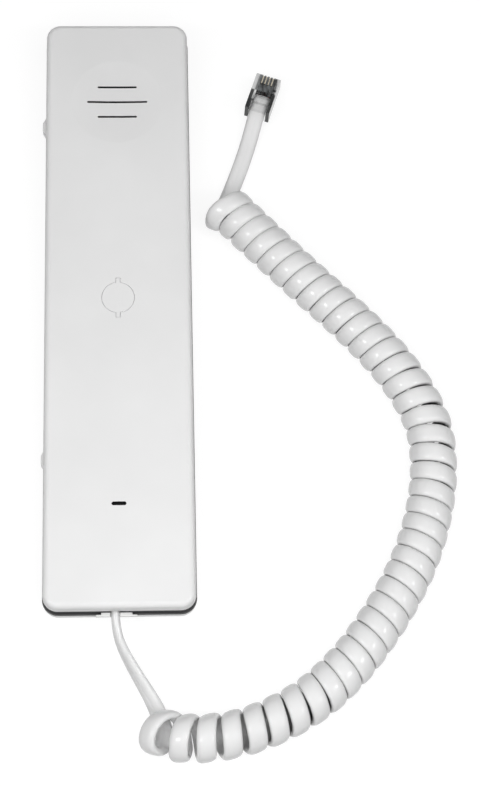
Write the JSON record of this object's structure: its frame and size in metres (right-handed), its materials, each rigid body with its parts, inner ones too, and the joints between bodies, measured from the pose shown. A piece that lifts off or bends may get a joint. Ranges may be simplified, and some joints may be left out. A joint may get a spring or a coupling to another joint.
{
  "type": "telephone handset",
  "caption": "Slim rectangular telephone handset with sound slots, a capped case screw, side keys, a curly cord and a clear modular plug.",
  "frame": {"origin": "middle of the handset's back, on the surface that it lies on", "axes": "+Z out of the front face, +Y towards the earpiece, +X to the right seen from the front"},
  "size_m": [0.1183, 0.2209, 0.018],
  "materials": {
    "shell_plastic": "satin moulded",
    "band_plastic": "dark grey, moulded",
    "black_plastic": "moulded",
    "ivory_plastic": "moulded",
    "board_laminate": "solder resist",
    "buff_ceramic": "lacquered",
    "steel": "zinc plated",
    "magnet_iron": "ground",
    "copper": "enamelled",
    "diaphragm_film": "thin film",
    "foam": "open foam and cloth",
    "wire_jacket": "extruded",
    "aluminium_can": "drawn",
    "black_rubber": "matt",
    "cord_jacket": "soft extruded jacket",
    "clear_plastic": "clear, smoky tint",
    "gold_contacts": "gold plated"
  },
  "bodies": {
    "handset": {"front_shell": "shell_plastic", "rear_shell": "shell_plastic", "seam_band": "band_plastic", "screw_cap": "shell_plastic", "case_screw": "steel", "upper_switch": "black_plastic", "lower_switch": "black_plastic", "circuit_board": "board_laminate", "board_screws": "steel", "speech_chip": "black_plastic", "capacitors": "black_plastic", "resistors": "buff_ceramic", "cord_socket": "ivory_plastic", "receiver_frame": "ivory_plastic", "receiver_yoke": "steel", "receiver_magnet": "magnet_iron", "pole_plate": "steel", "voice_coil": "copper", "diaphragm": "diaphragm_film", "receiver_grille": "ivory_plastic", "receiver_gasket": "foam", "dust_cloth": "foam", "receiver_pad": "foam", "receiver_wires": "wire_jacket", "mic_capsule": "aluminium_can", "mic_boot": "black_rubber", "mic_felt": "foam", "mic_wires": "wire_jacket", "cord_gland": "cord_jacket", "cord_ferrule": "steel", "cord_conductors": "wire_jacket", "handset_tail": "cord_jacket", "curly_cord": "cord_jacket", "plug_tail": "cord_jacket", "plug_body": "clear_plastic", "plug_contacts": "gold_contacts", "plug_conductors": "wire_jacket", "plug_wedge": "clear_plastic"},
    "upper_key_unit": {"upper_key": "shell_plastic", "upper_switch_plunger": "black_plastic"},
    "lower_key_unit": {"lower_key": "shell_plastic", "lower_switch_plunger": "black_plastic"},
    "plug_latch_unit": {"plug_latch": "clear_plastic"}
  },
  "joints": [
    {"name": "upper_key_press", "type": "slide", "parent": "handset", "child": "upper_key_unit", "axis": [1, 0, 0], "range_m": [0, 0.0005], "stiffness_N_per_m": 400, "springref_m": -0.0004},
    {"name": "lower_key_press", "type": "slide", "parent": "handset", "child": "lower_key_unit", "axis": [1, 0, 0], "range_m": [0, 0.0005], "stiffness_N_per_m": 400, "springref_m": -0.0004},
    {"name": "latch_press", "type": "hinge", "parent": "handset", "child": "plug_latch_unit", "pos_m": [0.04565, 0.07659, 0.00215], "axis": [-0.9455, 0.3256, 0], "range_deg": [0, 6], "stiffness_Nm_per_rad": 0.02, "springref_deg": -2.86}
  ]
}
